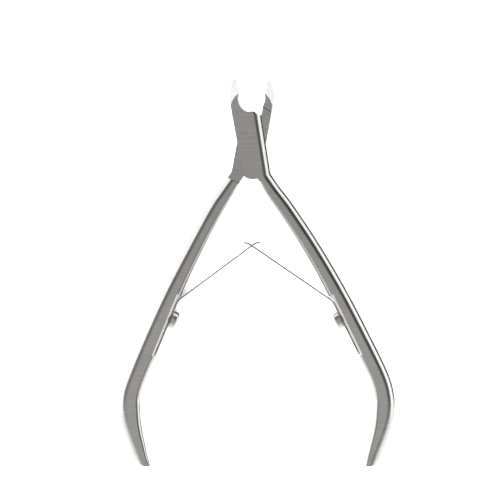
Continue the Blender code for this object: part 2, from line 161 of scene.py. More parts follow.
def cutAway(piece, cutters):
    # takes the cutters off the piece in their order, and removes them
    for cutter in cutters:
        modifier = piece.modifiers.new(cutter.name, "BOOLEAN")
        modifier.operation = "DIFFERENCE"
        modifier.solver = "EXACT"
        modifier.object = cutter
    applyModifiers(piece)
    for cutter in cutters:
        bpy.data.objects.remove(cutter)


def applyModifiers(piece):
    # the mesh as the modifiers leave it becomes the piece's own
    graph = bpy.context.evaluated_depsgraph_get()
    data = bpy.data.meshes.new_from_object(piece.evaluated_get(graph))
    piece.modifiers.clear()
    piece.data = data


# A machined edge gets a tiny radius. The longest sliver cleared is a share of the radius's width.
brokenEdge = {"segments": 2, "sliver": 1.2, "flatsLead": 80}


def clearSlivers(piece, length):
    # edges shorter than the length go, with the faces that they close
    fine = bmesh.new()
    fine.from_mesh(piece.data)
    bmesh.ops.dissolve_degenerate(fine, dist=length * mm, edges=fine.edges)
    fine.to_mesh(piece.data)
    fine.free()


def breakEdges(piece, width, angle):
    # Rounds each edge sharper than the angle. The new faces carry 1 in the attribute edge.
    kinds = [bpy.data.materials.new(name) for name in ("whole", "worn")]
    for kind in kinds:
        piece.data.materials.append(kind)
    bevel = piece.modifiers.new("broken edges", "BEVEL")
    bevel.width = width * mm
    bevel.segments = brokenEdge["segments"]
    bevel.limit_method = "ANGLE"
    bevel.angle_limit = np.radians(angle)
    bevel.use_clamp_overlap = False
    bevel.material = 1
    applyModifiers(piece)
    worn = np.zeros(len(piece.data.polygons), np.int32)
    piece.data.polygons.foreach_get("material_index", worn)
    edge = piece.data.attributes.new("edge", "FLOAT", "FACE")
    edge.data.foreach_set("value", worn.astype(np.float32))
    piece.data.polygons.foreach_set("material_index", 0 * worn)
    piece.data.materials.clear()
    for kind in kinds:
        bpy.data.materials.remove(kind)


def holdInside(piece):
    # in a narrow corner the radius overshoots by a few hundredths, so points are held to the box
    points = np.zeros(3 * len(piece.data.vertices), np.float32)
    piece.data.vertices.foreach_get("co", points)
    points = np.clip(points.reshape(-1, 3), cadBox[0], cadBox[1])
    piece.data.vertices.foreach_set("co", points.astype(np.float32).ravel())
    piece.data.update()


def smoothShade(piece, angle):
    # smooth all over, but for edges sharper than the angle
    piece.data.shade_smooth()
    piece.data.set_sharp_from_angle(angle=np.radians(angle))


def softenEdges(piece, width, angle):
    # slivers first, so that the flats stay whole, and flats lead in the smoothing
    clearSlivers(piece, brokenEdge["sliver"] * width)
    breakEdges(piece, width, angle)
    holdInside(piece)
    smoothShade(piece, angle)
    weighted = piece.modifiers.new("flat faces lead", "WEIGHTED_NORMAL")
    weighted.keep_sharp = True
    weighted.weight = brokenEdge["flatsLead"]


# Roundings are radii. The spring side's is given as (y, radius), from the handle's end up.
lever = {
    "handleTopY": -8.5,
    "handleEndY": -89.0,
    "handleEndThickness": 4.8,
    "lapGap": 0.1,
    "sharpRound": 0.25,
    "gripRound": 2.5,
    "springSideRound": [(-91.0, 0.45), (-80.0, 1.3), (-60.0, 1.45), (-25.0, 1.45), (-10.0, 0.9)],
    "endRound": 0.5,
    "leastFlat": 0.35,
    "leastSide": 0.2,
    "cutY": -89.43,
    "cutSlant": (1.5, 0.45),
    "cutCorner": (0.35, 0.8),
    "roundSteps": 12,
    "handleSteps": 12,
    "outlineSteps": 8,
    "edgeWidth": 0.05,
    "sharpAngle": 34.0,
}
jaw = {
    "tip": (-4.56, 19.85),
    "heel": (-3.60, 14.87),
    "side": [(-4.56, 19.85), (-5.35, 18.4), (-6.10, 15.9), (-6.27, 13.1), (-5.80, 10.6)],
    "notchPastTip": 0.3,
    "facetCentre": (-0.36, 10.47),
    "facetRadius": 5.5,
    "facetSlope": 45.0,
    "facetStart": 95.0,
    "facetSweep": 81.0,
    "facetSteps": 60,
    "backStartY": 12.5,
    "backSlope": 8.0,
    "shoulder": (1.4, 16.0),
    "shoulderTop": (-2.0, 20.6),
}
plate = {
    "lowCorner": (-2.38, -8.04),
    "rightTop": (2.66, 9.4),
    "topCorner": (2.74, 8.71),
    "pocketAbove": [(-5.85, 9.66), (-3.14, 11.37)],
    "pocketBelow": [(3.50, -10.42), (6.64, -8.54)],
}
# The handles' rows are centre x, centre y and width, from the joint to the end. Both levers are
# drawn with the handle at +X, and the back one is then turned over.
front = {
    "name": "front_lever_forging",
    "side": 1,
    "handle": [
        (3.7, -8.5, 3.7), (6.1, -12.4, 4.2), (10.0, -17.8, 4.5), (17.1, -28.7, 4.7),
        (24.1, -40.9, 5.0), (30.1, -52.8, 5.4), (35.6, -64.0, 5.3), (37.2, -69.9, 5.5),
        (37.2, -74.2, 5.5), (36.4, -78.9, 4.9), (34.1, -86.7, 3.6), (33.4, -88.9, 3.0),
        (32.7, -91.1, 2.5),
    ],
    "notch": [
        jaw["heel"], (-3.86, 13.6), (-3.64, 12.35), (-3.08, 11.2), (-2.3, 10.33),
        (-1.4, 9.85), (-0.75, 9.73),
    ],
    "plateTop": [(0.1, 9.93), (0.92, 9.80), (1.34, 9.35), (2.2, 8.82), plate["topCorner"]],
    "plateBottom": [plate["lowCorner"], (-1.30, -8.78), (0.10, -9.15), (1.60, -8.95)],
}
back = {
    "name": "back_lever_forging",
    "side": -1,
    "handle": [
        (4.1, -7.8, 3.5), (7.4, -13.0, 4.1), (10.5, -18.0, 4.5), (16.3, -28.9, 4.7),
        (22.3, -41.0, 5.2), (27.5, -53.0, 5.8), (32.2, -64.0, 5.6), (34.0, -69.8, 5.7),
        (34.0, -74.3, 5.7), (33.2, -79.0, 5.0), (30.85, -87.0, 3.55), (30.0, -88.9, 2.95),
        (29.05, -91.1, 2.5),
    ],
    "notch": [
        jaw["heel"], (-3.82, 13.6), (-3.50, 12.2), (-3.14, 11.3), (-3.02, 10.3),
        (-2.75, 9.1), (-2.1, 8.35),
    ],
    "plateTop": [(-0.9, 8.1), (1.0, 8.2), plate["topCorner"]],
    "plateBottom": [plate["lowCorner"], (-1.30, -8.78), (0.10, -9.10), (1.35, -8.72), (2.20, -8.15)],
}
# how far a cutter goes beyond the metal, sideways and up or down
reach = 12.0
margin = 2.0


def handleEdges(shape):
    # the centre line less and plus half the width, square to the line
    rows = smoothCurve(shape["handle"], lever["handleSteps"])
    centre, half = rows[:, :2], rows[:, 2:] / 2
    outward = leftOf(unit(np.gradient(centre, axis=0)))
    return centre - outward * half, centre + outward * half


def halfThickness(y):
    # even over the joint, then a straight taper to the handle's end
    along = np.clip((lever["handleTopY"] - y) / (lever["handleTopY"] - lever["handleEndY"]), 0, 1)
    return (jointThickness + (lever["handleEndThickness"] - jointThickness) * along) / 2


def forgingOutline(shape):
    # Anticlockwise from the jaw's tip. It also gives each edge's rounding, and the first and
    # the last point of the handle. The grip side's rounding leaves the handle a narrow flat.
    springSide, gripSide = handleEdges(shape)
    width = smoothCurve(shape["handle"], lever["handleSteps"])[:, 2]
    springRound = np.interp(springSide[:, 1], *np.array(lever["springSideRound"]).T)
    gripRound = np.minimum(lever["gripRound"], width - springRound - lever["leastFlat"])
    jawSide = smoothCurve(jaw["side"], lever["outlineSteps"])
    bottom = smoothCurve(shape["plateBottom"], lever["outlineSteps"])
    stretches = [
        (jawSide, lever["sharpRound"]),
        (bottom, lever["sharpRound"]),
        (springSide[1:], springRound[1:]),
        (gripSide[-1:], lever["endRound"]),
        (gripSide[-2:0:-1], gripRound[-2:0:-1]),
        (np.array([gripSide[0], plate["rightTop"], jaw["shoulder"]]), lever["gripRound"]),
        (np.array([jaw["shoulderTop"]]), lever["sharpRound"]),
    ]
    points = np.vstack([stretch for stretch, _ in stretches])
    rounding = np.concatenate([edge + np.zeros(len(stretch)) for stretch, edge in stretches])
    first = len(jawSide) + len(bottom)
    return points, rounding, first, first + len(springSide) - 1 + len(gripSide) - 2


def insetDirection(points, rounding):
    # each corner moves along the mitre of its two edges' inward normals
    inwardIn = leftOf(unit(points - np.roll(points, 1, axis=0)))
    inwardOut = np.roll(inwardIn, -1, axis=0)
    average = (np.roll(rounding, 1) + rounding) / 2
    mitre = 1 + (inwardIn * inwardOut).sum(axis=1)
    return (inwardIn + inwardOut) / mitre[:, None] * average[:, None]


# half a turn about the Y line at half the joint's thickness
turnOver = np.array([[-1, 0, 0, 0], [0, 1, 0, 0], [0, 0, -1, jointThickness], [0, 0, 0, 1]], float)


def turnFor(shape):
    # the front lever stays as drawn, and the back one is turned over
    return turnOver if shape["side"] < 0 else None


def makeForging(shape):
    # A quarter round carried round the outline, below and above:
    # plan = outline + inset (1 - cos t), height = half thickness - depth (1 - sin t).
    points, rounding, first, last = forgingOutline(shape)
    inset = insetDirection(points, rounding)
    most = halfThickness(points[:, 1]) - lever["leastSide"]
    depth = np.minimum((rounding + np.roll(rounding, 1)) / 2, most)
    t = np.linspace(0, np.pi / 2, lever["roundSteps"] + 1)
    t = np.concatenate([t[::-1], t])[:, None]
    side = np.repeat([-1.0, 1.0], lever["roundSteps"] + 1)[:, None]
    plan = points[None] + inset[None] * (1 - np.cos(t))[..., None]
    z = jointThickness / 2 + side * (halfThickness(plan[..., 1]) - depth[None] * (1 - np.sin(t)))
    rings = np.concatenate([plan, z[..., None]], axis=-1)
    # two flats on each side: the level joint and the tapering handle
    size = len(points)
    handle = list(range(first, last + 1))
    joint = list(range(first + 1)) + list(range(last, size))
    top = (2 * lever["roundSteps"] + 1) * size
    faces = gridFaces(len(rings), size).tolist()
    faces += [handle[::-1], joint[::-1]]
    faces += [[top + corner for corner in handle], [top + corner for corner in joint]]
    return makePiece(shape["name"], placed(rings.reshape(-1, 3), turnFor(shape)), faces)


def lineThrough(low, high, extra):
    # the two points moved apart by extra at each end
    low, high = np.array(low), np.array(high)
    along = unit(high - low)
    return low - along * extra, high + along * extra


def notchCutter(shape):
    # the room between jaw and plate, cut right through
    tip, heel = np.array(jaw["tip"]), np.array(jaw["heel"])
    beyond = tip + jaw["notchPastTip"] * (tip - heel)
    edge = np.vstack([smoothCurve(shape["notch"], lever["outlineSteps"]), shape["plateTop"]])
    right, top = edge[-1, 0] + reach / 2, tip[1] + reach / 2
    outline = np.vstack([beyond, edge, (right, edge[-1, 1]), (right, top), (beyond[0], top)])
    return makePrism("notch", outline, -margin, jointThickness + margin, turnFor(shape))


def pocketCutter(shape):
    # the milled lap, from one side to just past half the joint's thickness
    above = lineThrough(*plate["pocketAbove"], reach / 2)
    below = lineThrough(*plate["pocketBelow"], reach / 2)
    outline = np.vstack([above[0], (-reach, below[0][1]), below, (reach, above[1][1]), above[1]])
    lapFace = (jointThickness + lever["lapGap"]) / 2
    return makePrism("pocket", outline, -margin, lapFace, turnFor(shape))


def facetCutter(shape):
    # A wedge swept round the facet's centre, (radius cos a, radius sin a) for each of its corners.
    # Its inner face is the cone that is ground.
    slope = np.tan(np.radians(jaw["facetSlope"]))
    wedge = np.array([
        (jaw["facetRadius"] - margin / slope, jointThickness + margin),
        (jaw["facetRadius"] + reach, jointThickness - reach * slope),
        (jaw["facetRadius"] + reach, jointThickness + margin),
    ])
    sweep = np.linspace(0, jaw["facetSweep"], jaw["facetSteps"])
    a = np.radians(jaw["facetStart"] + sweep)[:, None]
    x = jaw["facetCentre"][0] + wedge[None, :, 0] * np.cos(a)
    y = jaw["facetCentre"][1] + wedge[None, :, 0] * np.sin(a)
    ring = np.stack([x * shape["side"], y, wedge[None, :, 1] + 0 * a], axis=-1)
    faces = tubeFaces(jaw["facetSteps"], 3)
    if shape["side"] > 0:
        faces = [face[::-1] for face in faces]
    return makePiece("facet", ring.reshape(-1, 3), faces)


def jawBackCutter(shape):
    # a wedge along X that thins the jaw's back towards its tip
    rise = reach * np.tan(np.radians(jaw["backSlope"]))
    profile = np.array([(-reach, -reach), (reach, -reach), (reach, rise), (0.0, 0.0)])
    start = jaw["backStartY"]
    matrix = np.array([[0, 0, 1, 0], [1, 0, 0, start], [0, 1, 0, 0], [0, 0, 0, 1]], float)
    return makePrism("jaw back", profile, -reach, reach, matrix)


# The seat's floor runs from towardsJoint before the screw to just past the leaf's tail. Its
# direction is the handle edge's, taken over span points on each side of the screw.
seat = {
    "y": -48.2,
    "depth": 0.6,
    "towardsJoint": 7.0,
    "pastTail": 0.3,
    "chamfer": 0.6,
    "span": 9,
}
screw = {
    "headRadius": 2.45,
    "rimHeight": 1.2,
    "footEdge": 0.12,
    "domeHeight": 0.7,
    "domePower": 0.6,
    "domeSteps": 28,
    "slotWidth": 0.7,
    "slotDepth": 0.8,
    "slotTurn": 88.0,
    "shankRadius": 0.95,
    "shankLength": 3.2,
    "clearance": 0.1,
    "holeSides": 48,
    "sides": 96,
    "edgeWidth": 0.05,
    "sharpAngle": 40.0,
}
# A corner's radius is held to width / widthPerCorner.
leaf = {
    "thickness": 0.5,
    "width": 4.4,
    "seatGap": 0.05,
    "tail": 11.2,
    "tailCorner": 1.2,
    "toBend": 4.4,
    "bendRadius": 4.0,
    "cross": (0.05, -27.65),
    "pastCrossing": 0.7,
    "forkCurl": 2.3,
    "tongueCurl": 2.4,
    "curl": 35.0,
    "tip": 0.5,
    "tipCorner": 0.5,
    "widthPerCorner": 2.2,
    "tongueWidth": 1.6,
    "tongueLength": 6.0,
    "tongueStep": 2.0,
    "slotWidth": 2.4,
    "slotBefore": 6.5,
    "slotPast": 2.0,
    "slotSteps": 24,
    "sectionPower": 0.28,
    "sides": 40,
    "tailSteps": 60,
    "bendSteps": 24,
    "armSteps": 90,
    "curlSteps": 16,
    "tipSteps": 4,
    "sharpAngle": 38.0,
    "stiffTail": 0.5,
    "stiffArm": 3.0,
}
# the middle of the strip above the seat's floor
leafHeight = leaf["seatGap"] + leaf["thickness"] / 2


def seatLine(shape):
    # the seat's middle on its floor, the way to the handle's end, and the way off the floor
    springSide, _ = handleEdges(shape)
    place = np.array([np.interp(seat["y"], springSide[::-1, 1], springSide[::-1, 0]), seat["y"]])
    nearest = int(np.argmin(np.abs(springSide[:, 1] - seat["y"])))
    down = unit(springSide[nearest + seat["span"]] - springSide[nearest - seat["span"]])
    off = -leftOf(down)
    return place - off * seat["depth"], down, off


def seatFrame(shape):
    # X to the handle's end, Y off the seat, Z along the pivot's axis
    place, down, off = seatLine(shape)
    side = shape["side"]
    xAxis = np.array([side * down[0], down[1], 0])
    yAxis = np.array([side * off[0], off[1], 0])
    matrix = np.eye(4)
    matrix[:3, :3] = np.column_stack([xAxis, yAxis, np.cross(xAxis, yAxis)])
    matrix[:3, 3] = (side * place[0], place[1], jointThickness / 2)
    return matrix


def screwFrame(shape):
    # the same place, with Z leaving the face
    turn = np.array([[1, 0, 0, 0], [0, 0, 1, 0], [0, -1, 0, 0], [0, 0, 0, 1]], float)
    return seatFrame(shape) @ turn


def seatCutter(shape):
    # the seat's floor with both long edges broken at 45 degrees, carried along the handle
    place, _, _ = seatLine(shape)
    edge = halfThickness(place[1]) - seat["chamfer"]
    high = seat["depth"] + margin
    section = [
        (0, -edge), (-margin, -edge - margin), (high, -edge - margin),
        (high, edge + margin), (-margin, edge + margin), (0, edge),
    ]
    stop = leaf["tail"] + seat["pastTail"]
    carry = np.array([[0, 0, 1, 0], [1, 0, 0, 0], [0, 1, 0, 0], [0, 0, 0, 1]], float)
    return makePrism("seat", section, -seat["towardsJoint"], stop, seatFrame(shape) @ carry)


def endCutter(shape):
    # the handle is sawn off square to Y, with a slanted outer corner
    _, gripSide = handleEdges(shape)
    y = lever["cutY"]
    outer = np.interp(y, gripSide[::-1, 1], gripSide[::-1, 0])
    run, rise = lever["cutSlant"]
    pastRun, pastRise = lever["cutCorner"]
    outline = [
        (outer - reach, y - reach), (outer + reach, y - reach), (outer + reach, y + reach),
        (outer + pastRun, y + rise + pastRise), (outer, y + rise), (outer - run, y),
        (outer - reach, y),
    ]
    return makePrism("handle end", outline, -margin, jointThickness + margin, turnFor(shape))


def holeCutter(shape, depth):
    # a round hole from above the seat to a depth below its floor
    radius = screw["shankRadius"] + screw["clearance"]
    profile = [(0, -depth), (radius, -depth), (radius, margin), (0, margin)]
    return makeTurned("screw hole", profile, screw["holeSides"], screwFrame(shape))


rivet = {
    "radius": 2.0,
    "headRadius": 3.2,
    "headDepth": 1.2,
    "frontCover": 0.9,
    "clearance": 0.05,
    "edge": 0.06,
    "sides": 96,
    "sharpAngle": 30.0,
}


def boreCutter():
    # the rivet's profile with the clearance round it, open at the back and closed at the front
    gap = rivet["clearance"]
    hole, head = rivet["radius"] + gap, rivet["headRadius"] + gap
    neck = rivet["headDepth"] + gap
    top = jointThickness - rivet["frontCover"] + gap
    profile = [(0, -margin), (head, -margin), (head, gap), (hole, neck), (hole, top), (0, top)]
    return makeTurned("bore", profile, rivet["sides"], centre=pivotXY)


def makeLever(shape):
    # a forging with everything that is cut, milled, ground and drilled in it
    piece = makeForging(shape)
    cutters = [
        notchCutter(shape),
        pocketCutter(shape),
        facetCutter(shape),
        jawBackCutter(shape),
        endCutter(shape),
        seatCutter(shape),
        boreCutter(),
        holeCutter(shape, screw["shankLength"]),
    ]
    cutAway(piece, cutters)
    softenEdges(piece, lever["edgeWidth"], lever["sharpAngle"])
    return piece


def makeRivet():
    # a countersunk head at the back and a plain round body
    edge = rivet["edge"]
    top = jointThickness - rivet["frontCover"]
    head, body = rivet["headRadius"], rivet["radius"]
    profile = [
        (0, 0), (head - edge, 0), (head, edge), (body, rivet["headDepth"]),
        (body, top - edge), (body - edge, top), (0, top),
    ]
    piece = makeTurned("rivet", profile, rivet["sides"], centre=pivotXY)
    smoothShade(piece, rivet["sharpAngle"])
    return piece


def driverSlot(shape, top, matrix):
    # a straight slot right across the head, turned by slotTurn
    half, length = screw["slotWidth"] / 2, 2 * screw["headRadius"]
    outline = np.array([(-half, -length), (half, -length), (half, length), (-half, length)])
    turn = np.radians(screw["slotTurn"] * shape["side"])
    outline = outline @ np.array([[np.cos(turn), np.sin(turn)], [-np.sin(turn), np.cos(turn)]])
    return makePrism("slot", outline, top - screw["slotDepth"], top + margin, matrix)


def makeScrew(name, shape):
    # Shank and head turned in one. The head's top is a squashed quarter, round at the rim and
    # nearly flat above: radius x (cos t)^power, rim height + dome height x sin t.
    under = 2 * leaf["seatGap"] + leaf["thickness"]
    rim = under + screw["rimHeight"]
    top = rim + screw["domeHeight"]
    tip = screw["shankLength"] - 2 * screw["clearance"]
    t = np.linspace(0, np.pi / 2, screw["domeSteps"])[:-1]
    domeRadius = screw["headRadius"] * np.cos(t) ** screw["domePower"]
    dome = np.column_stack([domeRadius, rim + screw["domeHeight"] * np.sin(t)])
    foot = screw["headRadius"] - screw["footEdge"]
    shank = [(0, -tip), (screw["shankRadius"], -tip), (screw["shankRadius"], under), (foot, under)]
    base = [(screw["headRadius"], under + screw["footEdge"])]
    profile = np.vstack([shank, base, dome, [(0, top)]])
    matrix = screwFrame(shape)
    piece = makeTurned(name, profile, screw["sides"], matrix)
    cutAway(piece, [driverSlot(shape, top, matrix)])
    softenEdges(piece, screw["edgeWidth"], screw["sharpAngle"])
    return piece


def leafBend(shape):
    # An arc from the seat to where its tangent runs through the crossing. From the arc's centre
    # that end is arccos(radius / distance) past the way to the crossing.
    inverse = np.linalg.inv(seatFrame(shape))
    crossing = (inverse @ np.array([*leaf["cross"], jointThickness / 2, 1]))[:2]
    centre = np.array([-leaf["toBend"], leafHeight + leaf["bendRadius"]])
    away = crossing - centre
    toTangent = np.degrees(np.arccos(leaf["bendRadius"] / np.linalg.norm(away)))
    end = np.degrees(np.arctan2(away[1], away[0])) + toTangent - 360.0
    bend = arcPoints(centre, leaf["bendRadius"], -90.0, end, leaf["bendSteps"])
    return bend, crossing, unit(crossing - bend[-1])


def leafPath(shape, curlRadius):
    # tail on the seat, bend, straight arm through the crossing, curled tip
    bend, crossing, ahead = leafBend(shape)
    tailX = np.linspace(leaf["tail"], -leaf["toBend"], leaf["tailSteps"])[:-1]
    tail = np.column_stack([tailX, np.full(len(tailX), leafHeight)])
    right = -leftOf(ahead)
    armEnd = crossing + ahead * leaf["pastCrossing"]
    along = np.linspace(0, 1, leaf["armSteps"])[1:-1, None]
    arm = bend[-1] + (armEnd - bend[-1]) * along
    start = np.degrees(np.arctan2(-right[1], -right[0]))
    stop = start - leaf["curl"]
    curl = arcPoints(armEnd + right * curlRadius, curlRadius, start, stop, leaf["curlSteps"])
    onward = np.linspace(1 / leaf["tipSteps"], 1, leaf["tipSteps"])[:, None]
    tip = curl[-1] + unit(curl[-1] - curl[-2]) * leaf["tip"] * onward
    return np.vstack([tail, bend, arm, curl, tip])


def leafWidth(path, narrow):
    # The tongue is a smooth step in width, t^2 (3 - 2 t). At both ends the corners are quarter
    # rounds: each side draws in by radius (1 - sqrt(1 - s^2)), s from 0 at the round's start to 1.
    gone = np.concatenate([[0], np.cumsum(np.linalg.norm(np.diff(path, axis=0), axis=1))])
    fromEnd = gone[-1] - gone
    width = np.full(len(path), leaf["width"])
    if narrow:
        step = np.clip((fromEnd - leaf["tongueLength"]) / leaf["tongueStep"], 0, 1)
        width = leaf["tongueWidth"] + (leaf["width"] - leaf["tongueWidth"]) * step**2 * (3 - 2 * step)
    for distance, radius in ((gone, leaf["tailCorner"]), (fromEnd, leaf["tipCorner"])):
        short = np.clip(1 - distance / radius, 0, 1)
        corner = np.minimum(radius, width / leaf["widthPerCorner"])
        width = width - 2 * corner * (1 - np.sqrt(1 - short**2))
    return width


def slotCutter(shape):
    # a round-ended slot, square to the arm
    _, crossing, ahead = leafBend(shape)
    half = leaf["slotWidth"] / 2
    low, high = -leaf["slotBefore"] + half, leaf["slotPast"] - half
    stadium = np.vstack([
        arcPoints((high, 0.0), half, -90, 90, leaf["slotSteps"]),
        arcPoints((low, 0.0), half, 90, 270, leaf["slotSteps"]),
    ])
    side = leftOf(ahead)
    matrix = np.eye(4)
    matrix[:2, 0], matrix[:3, 1], matrix[:2, 2] = ahead, (0, 0, 1), -side
    matrix[:2, 3] = crossing
    return makePrism("leaf slot", stadium, -margin, margin, seatFrame(shape) @ matrix)


def makeLeaf(name, shape, curlRadius, narrow):
    # A rounded strip carried along the path. The section is a superellipse:
    # (thickness/2) |cos a|^p across the strip and (width/2) |sin a|^p along the pivot's axis.
    path = leafPath(shape, curlRadius)
    width = leafWidth(path, narrow)
    across = leftOf(unit(np.gradient(path, axis=0)))
    a = np.linspace(0, 2 * np.pi, leaf["sides"], endpoint=False)[None]
    power = leaf["sectionPower"]
    acrossPart = -np.sign(np.cos(a)) * np.abs(np.cos(a)) ** power * leaf["thickness"] / 2
    upPart = np.sign(np.sin(a)) * np.abs(np.sin(a)) ** power * width[:, None] / 2
    plan = path[:, None] + across[:, None] * acrossPart[..., None]
    points = np.concatenate([plan, upPart[..., None]], axis=-1)
    points = placed(points.reshape(-1, 3), seatFrame(shape))
    piece = makePiece(name, points, tubeFaces(len(path), leaf["sides"]))
    cutters = [holeCutter(shape, margin)]
    if not narrow:
        cutters.append(slotCutter(shape))
    cutAway(piece, cutters)
    smoothShade(piece, leaf["sharpAngle"])
    return piece


# rough is the middle of its range and streak the range's width; tone is how far brush lines darken
finishes = {
    "forged_steel": {
        "colour": (0.80, 0.785, 0.772), "rough": 0.17, "streak": 0.08, "tone": 0.10, "bump": 0.35,
    },
    "rivet_steel": {
        "colour": (0.82, 0.80, 0.78), "rough": 0.16, "streak": 0.08, "tone": 0.06, "bump": 0.25,
    },
    "spring_steel": {
        "colour": (0.62, 0.61, 0.59), "rough": 0.20, "streak": 0.06, "tone": 0.08, "bump": 0.20,
    },
    "screw_steel": {
        "colour": (0.84, 0.83, 0.81), "rough": 0.15, "streak": 0.06, "tone": 0.05, "bump": 0.15,
    },
}
# Scales are per metre: brush lines and scratches run along X, across the nipper. Spreads are the
# parts of a noise's range that are used. The bump's height is in metres.
grain = {
    "lines": (90.0, 3600.0, 90.0),
    "fine": (500.0, 15000.0, 500.0),
    "patches": (160.0, 260.0, 160.0),
    "spread": (0.3, 0.7),
    "noiseRough": 0.6,
    "bumpHeight": 0.000004,
    "scratch": (70.0, 2600.0, 700.0),
    "scratchTurns": (22.0, -31.0),
    "scratchSpread": (0.66, 0.72),
    "scratchDepth": 0.05,
    "scratchBump": 8.0,
    "edgeTone": 0.12,
    "edgeShine": 0.05,
}
# Widths and fades are in millimetres, and rubScale is per metre. The painted shade along the pocket's
# walls has a core that is a share of its width, and its tone is the tone that is left in the core.
wear = {
    "paintedShadeWidth": 0.24,
    "paintedShadeCore": 0.3,
    "paintedShade": 0.30,
    "lapFade": (0.1, 0.2),
    "rubScale": 2400.0,
    "rubSpread": (0.42, 0.72),
    "rub": 0.10,
    "handleLift": 0.13,
    "liftFade": (-60.0, -18.0),
    "crossLift": 1.22,
    "crossFade": (1.5, 4.0),
}


def addNode(tree, kind, **values):
    # a value goes to the input of that name, or else to the node's own setting
    node = tree.nodes.new(kind)
    for key, value in values.items():
        if key in node.inputs:
            node.inputs[key].default_value = value
        else:
            setattr(node, key, value)
    return node


def reckon(tree, operation, first, second=0.0):
    # one step of arithmetic on sockets or numbers
    node = addNode(tree, "ShaderNodeMath", operation=operation)
    for socket, value in zip(node.inputs, (first, second)):
        if isinstance(value, (int, float)):
            socket.default_value = value
        else:
            tree.links.new(value, socket)
    return node.outputs[0]


def ranged(tree, source, fromLow, fromHigh, low, high, smooth=False):
    # low to high as the source goes from fromLow to fromHigh, straight or as a smooth step
    node = tree.nodes.new("ShaderNodeMapRange")
    node.interpolation_type = "SMOOTHSTEP" if smooth else "LINEAR"
    tree.links.new(source, node.inputs["Value"])
    node.inputs["From Min"].default_value = fromLow
    node.inputs["From Max"].default_value = fromHigh
    node.inputs["To Min"].default_value = low
    node.inputs["To Max"].default_value = high
    return node.outputs["Result"]


def scaled(tree, source, factor):
    # a vector times another, part by part
    node = addNode(tree, "ShaderNodeVectorMath", operation="MULTIPLY")
    tree.links.new(source, node.inputs[0])
    node.inputs[1].default_value = factor
    return node.outputs["Vector"]


def streakNoise(tree, place, scale, detail, turn=0.0):
    # noise stretched along X and Z, so that its lines run across the nipper, or at a turn to it
    mapping = addNode(tree, "ShaderNodeMapping")
    mapping.inputs["Scale"].default_value = scale
    mapping.inputs["Rotation"].default_value = (0.0, 0.0, np.radians(turn))
    tree.links.new(place, mapping.inputs["Vector"])
    noise = addNode(tree, "ShaderNodeTexNoise", Scale=1.0, Detail=detail)
    noise.inputs["Roughness"].default_value = grain["noiseRough"]
    tree.links.new(mapping.outputs["Vector"], noise.inputs["Vector"])
    return noise.outputs["Fac"]


def nearLine(tree, place, low, high):
    # 1 on the line through two points of the plan, falling to 0 at the painted shade's width:
    # the distance is |n . p - n . low|, where n is square to the line
    low, high = np.array(low) * mm, np.array(high) * mm
    normal = leftOf(unit(high - low))
    across = addNode(tree, "ShaderNodeVectorMath", operation="DOT_PRODUCT")
    tree.links.new(place, across.inputs[0])
    across.inputs[1].default_value = (normal[0], normal[1], 0.0)
    signed = reckon(tree, "SUBTRACT", across.outputs["Value"], float(normal @ low))
    distance = reckon(tree, "ABSOLUTE", signed)
    core, width = wear["paintedShadeCore"] * wear["paintedShadeWidth"] * mm, wear["paintedShadeWidth"] * mm
    return ranged(tree, distance, core, width, 1.0, 0.0, smooth=True)


def rubbedRings(tree, place):
    # rings round the pivot: noise of the distance from its axis
    radius = addNode(tree, "ShaderNodeVectorMath", operation="LENGTH")
    tree.links.new(scaled(tree, place, (1.0, 1.0, 0.0)), radius.inputs[0])
    rings = addNode(tree, "ShaderNodeTexNoise", noise_dimensions="1D", Detail=1.0)
    rings.inputs["Scale"].default_value = wear["rubScale"]
    tree.links.new(radius.outputs["Value"], rings.inputs["W"])
    return ranged(tree, rings.outputs["Fac"], *wear["rubSpread"], 0.0, wear["rub"])


def lapShadeAndWear(tree, place, shape):
    # On the lap faces only: painted shade in the corners of the milled pocket, where its walls shade
    # the lap, and rings rubbed round the pivot. The tone is 1 less both.
    parts = addNode(tree, "ShaderNodeSeparateXYZ")
    tree.links.new(place, parts.inputs[0])
    above = reckon(tree, "SUBTRACT", parts.outputs["Z"], jointThickness / 2 * mm)
    fadeStart, fadeStop = (length * mm for length in wear["lapFade"])
    onLap = ranged(tree, reckon(tree, "ABSOLUTE", above), fadeStart, fadeStop, 1.0, 0.0)
    flip = np.array([shape["side"], 1.0])
    walls = [plate["pocketAbove"], plate["pocketBelow"]]
    walls = [nearLine(tree, place, *(np.array(wall) * flip)) for wall in walls]
    # painted shade along the foot of the pocket's walls
    paintedShade = reckon(tree, "MULTIPLY", reckon(tree, "MAXIMUM", *walls), onLap)
    rubbed = reckon(tree, "MULTIPLY", rubbedRings(tree, place), onLap)
    dark = reckon(tree, "ADD", reckon(tree, "MULTIPLY", paintedShade, 1 - wear["paintedShade"]), rubbed)
    # the tone rises a little from the joint towards the handles' ends
    liftStart, liftStop = (length * mm for length in wear["liftFade"])
    most = 1 + wear["handleLift"]
    lift = ranged(tree, parts.outputs["Y"], liftStart, liftStop, most, 1.0, smooth=True)
    return reckon(tree, "MULTIPLY", reckon(tree, "SUBTRACT", 1.0, dark), lift)


def crossingPolish(tree, place):
    # the leaves rub each other bright where they cross
    apart = addNode(tree, "ShaderNodeVectorMath", operation="DISTANCE")
    tree.links.new(place, apart.inputs[0])
    crossing = np.array([*leaf["cross"], jointThickness / 2]) * mm
    apart.inputs[1].default_value = crossing
    fadeStart, fadeStop = (length * mm for length in wear["crossFade"])
    most = wear["crossLift"]
    return ranged(tree, apart.outputs["Value"], fadeStart, fadeStop, most, 1.0, smooth=True)


